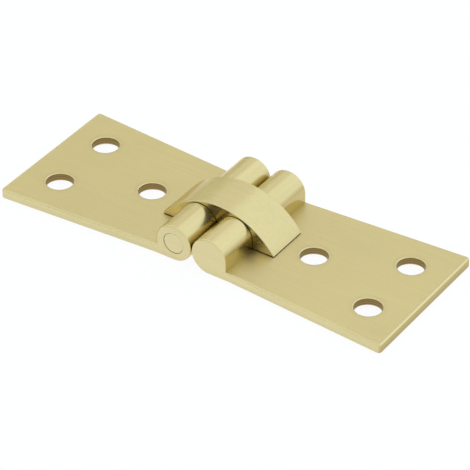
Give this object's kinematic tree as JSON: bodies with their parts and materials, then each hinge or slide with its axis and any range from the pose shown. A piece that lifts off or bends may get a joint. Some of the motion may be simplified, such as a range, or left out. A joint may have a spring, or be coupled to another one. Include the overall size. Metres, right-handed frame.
{
  "type": "counter flap hinge",
  "caption": "Flush hinge for a counter flap: flared brass leaves with countersunk screw holes, joined by an arched link that turns on a pin in each leaf.",
  "frame": {"origin": "middle of the hinge, on the plane of the flush faces", "axes": "+X along the leaves towards the right leaf's outer end, +Y along the pins towards the back, +Z away from the flush faces towards the knuckles and the link"},
  "size_m": [0.102, 0.0378, 0.0105],
  "materials": {
    "leaf_brass": "satin",
    "link_brass": "satin",
    "pin_brass": "satin"
  },
  "bodies": {
    "left_leaf": {"left_leaf": "leaf_brass", "left_pin": "pin_brass"},
    "link": {"link": "link_brass"},
    "right_leaf": {"right_leaf": "leaf_brass", "right_pin": "pin_brass"}
  },
  "joints": [
    {"name": "left_pin_turn", "type": "hinge", "parent": "left_leaf", "child": "link", "pos_m": [-0.0047, 0, 0.0046], "axis": [0, 1, 0], "range_deg": [0, 90]},
    {"name": "right_pin_turn", "type": "hinge", "parent": "link", "child": "right_leaf", "pos_m": [0.0047, 0, 0.0046], "axis": [0, 1, 0], "range_deg": [0, 90]}
  ]
}
